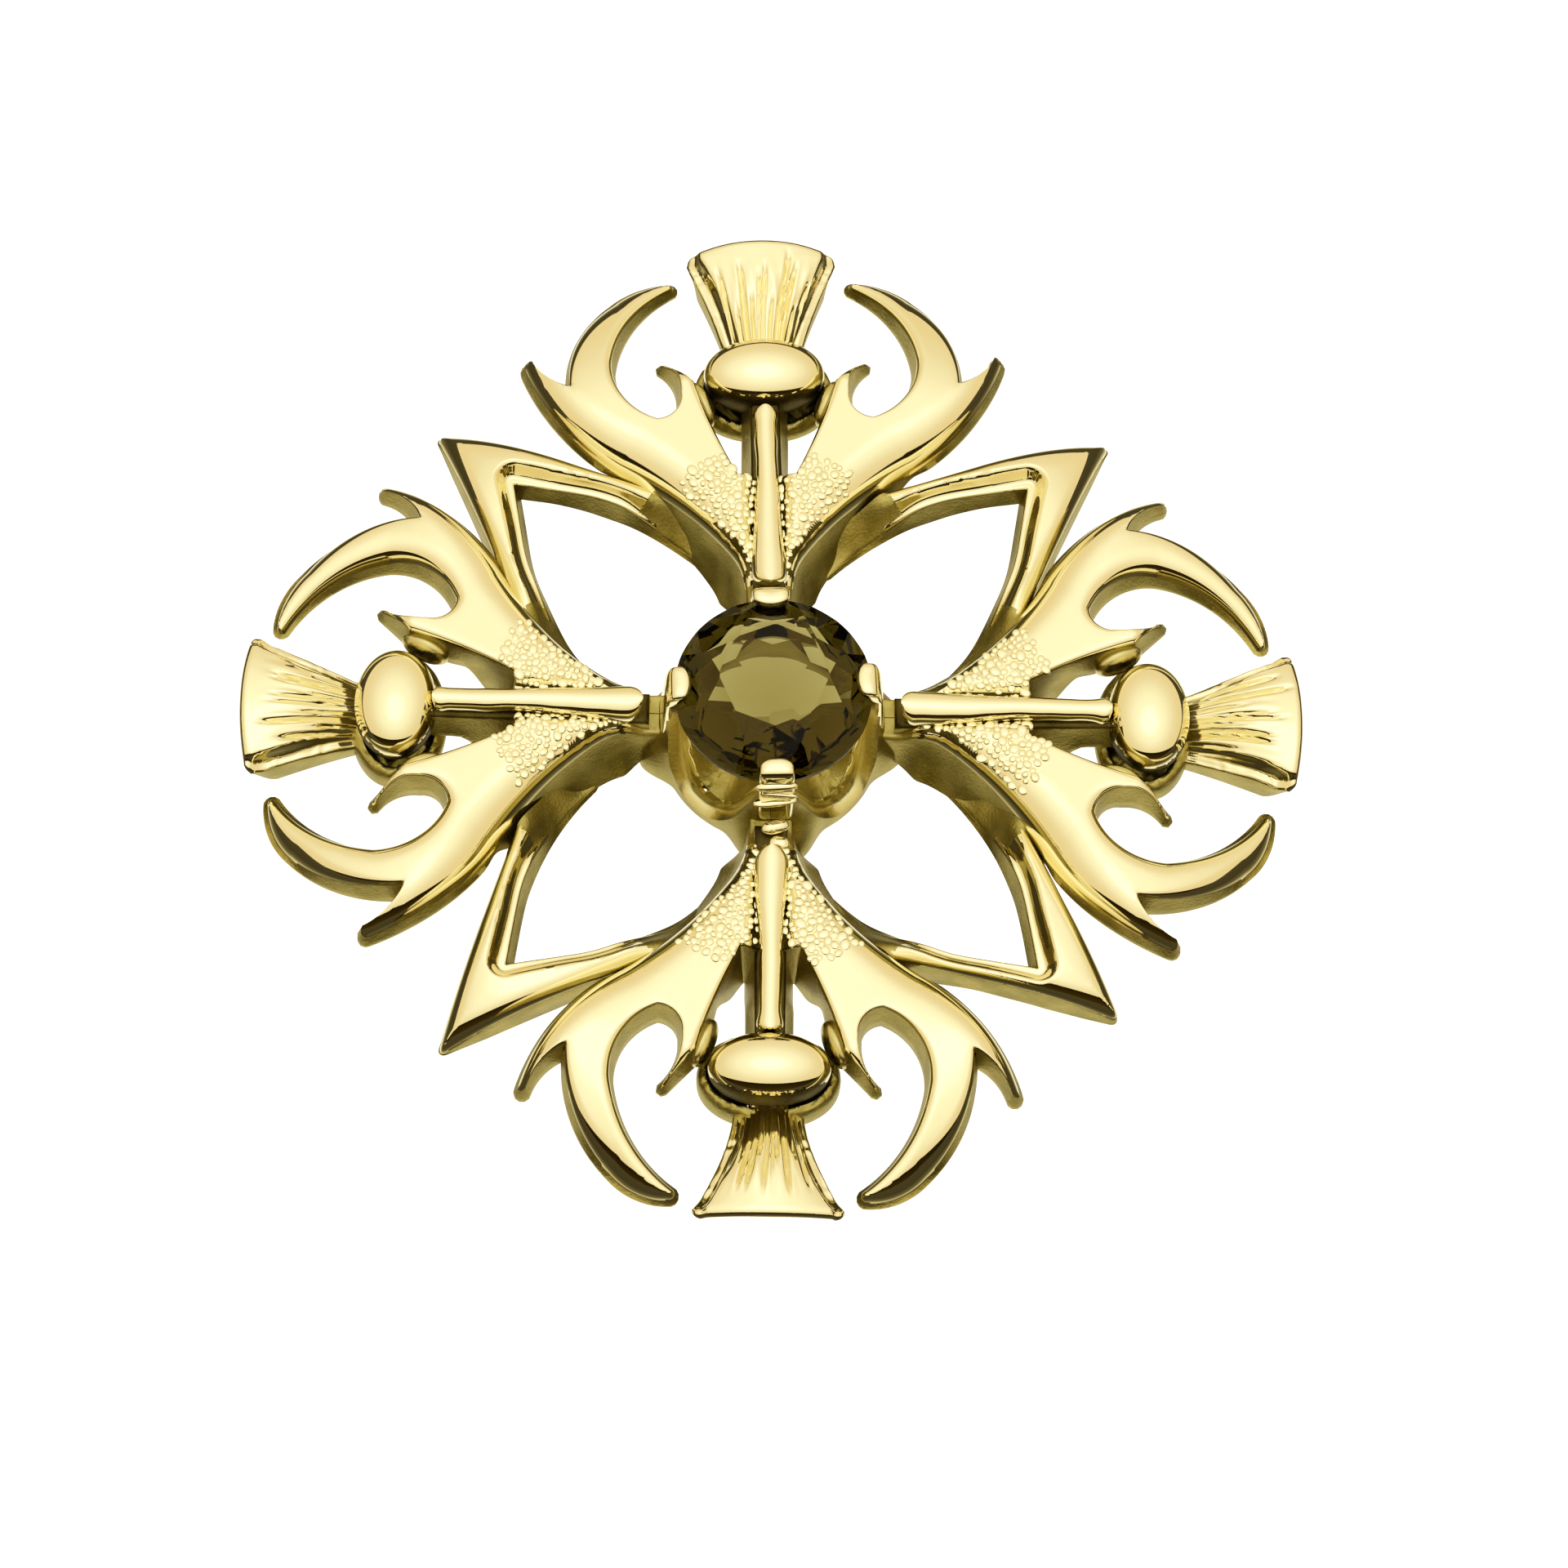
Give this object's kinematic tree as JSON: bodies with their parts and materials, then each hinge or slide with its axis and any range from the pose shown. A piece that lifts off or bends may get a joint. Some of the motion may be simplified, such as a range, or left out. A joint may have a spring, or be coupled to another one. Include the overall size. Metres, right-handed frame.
{
  "type": "thistle brooch",
  "caption": "Openwork cross brooch with thistle arms and corner chevrons around a round faceted stone in a claw setting, with a pin at the back.",
  "frame": {"origin": "middle of the brooch, on the plane that it rests on", "axes": "+Z out of the face of the brooch, +Y towards the top thistle, +X to the right as seen from the front"},
  "size_m": [0.0432, 0.0432, 0.0071],
  "materials": {
    "yellow_gold": "polished yellow gold",
    "smoky_quartz": "polished faceted smoky quartz",
    "pin_gold": "polished"
  },
  "bodies": {
    "root": {"thistle_frame": "yellow_gold", "centre_stone": "smoky_quartz", "brooch_pin": "pin_gold"}
  },
  "joints": []
}
